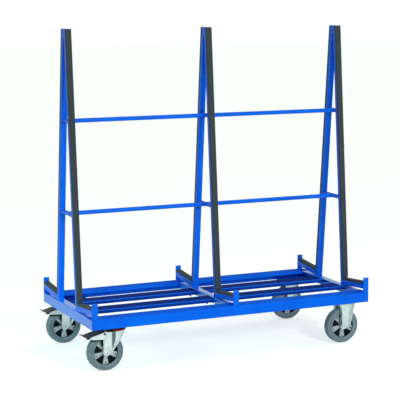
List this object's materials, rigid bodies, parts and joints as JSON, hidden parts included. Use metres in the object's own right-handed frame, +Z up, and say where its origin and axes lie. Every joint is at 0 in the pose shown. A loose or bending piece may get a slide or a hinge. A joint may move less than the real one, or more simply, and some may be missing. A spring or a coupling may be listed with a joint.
{
  "type": "sheet goods cart",
  "caption": "Double-sided sheet goods cart: blue steel base on swivel and fixed casters, A-shaped lean frames with rubber strips, padded soles with stops, and brake pedals.",
  "frame": {"origin": "on the floor, under the middle of the cart's overall length and depth", "axes": "+X along the length towards the fixed casters, +Y from the front side to the rear side, +Z up"},
  "size_m": [1.7918, 0.82, 1.869],
  "materials": {
    "blue_paint": "powder coat, semi-gloss",
    "pad_rubber": "matt extruded rubber",
    "zinc_steel": "bright zinc plate on pressed steel",
    "cast_aluminium": "as cast, bead blasted",
    "tyre_rubber": "matt grey elastic rubber",
    "red_seal": "moulded",
    "black_plastic": "moulded, ribbed tread"
  },
  "bodies": {
    "frame": {"front_rail": "blue_paint", "rear_rail": "blue_paint", "left_end_rail": "blue_paint", "right_end_rail": "blue_paint", "front_slat": "blue_paint", "rear_slat": "blue_paint", "centre_crossmember": "blue_paint", "corner_plate_front_left": "blue_paint", "corner_plate_rear_left": "blue_paint", "corner_plate_front_right": "blue_paint", "corner_plate_rear_right": "blue_paint", "leg_left_front": "blue_paint", "leg_pad_left_front": "pad_rubber", "sole_left_front": "blue_paint", "sole_pad_left_front": "pad_rubber", "leg_left_rear": "blue_paint", "leg_pad_left_rear": "pad_rubber", "sole_left_rear": "blue_paint", "sole_pad_left_rear": "pad_rubber", "leg_centre_front": "blue_paint", "leg_pad_centre_front": "pad_rubber", "sole_centre_front": "blue_paint", "sole_pad_centre_front": "pad_rubber", "leg_centre_rear": "blue_paint", "leg_pad_centre_rear": "pad_rubber", "sole_centre_rear": "blue_paint", "sole_pad_centre_rear": "pad_rubber", "leg_right_front": "blue_paint", "leg_pad_right_front": "pad_rubber", "sole_right_front": "blue_paint", "sole_pad_right_front": "pad_rubber", "leg_right_rear": "blue_paint", "leg_pad_right_rear": "pad_rubber", "sole_right_rear": "blue_paint", "sole_pad_right_rear": "pad_rubber", "upper_brace": "blue_paint", "lower_brace": "blue_paint", "top_plate_front_left": "zinc_steel", "top_plate_rear_left": "zinc_steel", "fixed_fork_front_right": "zinc_steel", "axle_front_right": "zinc_steel", "fixed_fork_rear_right": "zinc_steel", "axle_rear_right": "zinc_steel"},
    "swivel_front_left": {"swivel_bearing_front_left": "red_seal", "swivel_fork_front_left": "zinc_steel", "axle_front_left": "zinc_steel"},
    "roller_front_left": {"wheel_front_left": "cast_aluminium", "tyre_front_left": "tyre_rubber"},
    "pedal_front_left": {"brake_pedal_front_left": "black_plastic"},
    "swivel_rear_left": {"swivel_bearing_rear_left": "red_seal", "swivel_fork_rear_left": "zinc_steel", "axle_rear_left": "zinc_steel"},
    "roller_rear_left": {"wheel_rear_left": "cast_aluminium", "tyre_rear_left": "tyre_rubber"},
    "pedal_rear_left": {"brake_pedal_rear_left": "black_plastic"},
    "roller_front_right": {"wheel_front_right": "cast_aluminium", "tyre_front_right": "tyre_rubber"},
    "roller_rear_right": {"wheel_rear_right": "cast_aluminium", "tyre_rear_right": "tyre_rubber"}
  },
  "joints": [
    {"name": "swivel_front_left", "type": "hinge", "parent": "frame", "child": "swivel_front_left", "pos_m": [-0.69513, -0.342, 0.232], "axis": [0, 0, 1], "continuous": true},
    {"name": "wheel_front_left", "type": "hinge", "parent": "swivel_front_left", "child": "roller_front_left", "pos_m": [-0.75713, -0.342, 0.104], "axis": [0, 1, 0], "continuous": true},
    {"name": "brake_front_left", "type": "hinge", "parent": "swivel_front_left", "child": "pedal_front_left", "pos_m": [-0.77113, -0.342, 0.2125], "axis": [0, -1, 0], "range_deg": [0, 14]},
    {"name": "swivel_rear_left", "type": "hinge", "parent": "frame", "child": "swivel_rear_left", "pos_m": [-0.69513, 0.342, 0.232], "axis": [0, 0, 1], "continuous": true},
    {"name": "wheel_rear_left", "type": "hinge", "parent": "swivel_rear_left", "child": "roller_rear_left", "pos_m": [-0.75713, 0.342, 0.104], "axis": [0, 1, 0], "continuous": true},
    {"name": "brake_rear_left", "type": "hinge", "parent": "swivel_rear_left", "child": "pedal_rear_left", "pos_m": [-0.77113, 0.342, 0.2125], "axis": [0, -1, 0], "range_deg": [0, 14]},
    {"name": "wheel_front_right", "type": "hinge", "parent": "frame", "child": "roller_front_right", "pos_m": [0.74987, -0.342, 0.104], "axis": [0, 1, 0], "continuous": true},
    {"name": "wheel_rear_right", "type": "hinge", "parent": "frame", "child": "roller_rear_right", "pos_m": [0.74987, 0.342, 0.104], "axis": [0, 1, 0], "continuous": true}
  ]
}
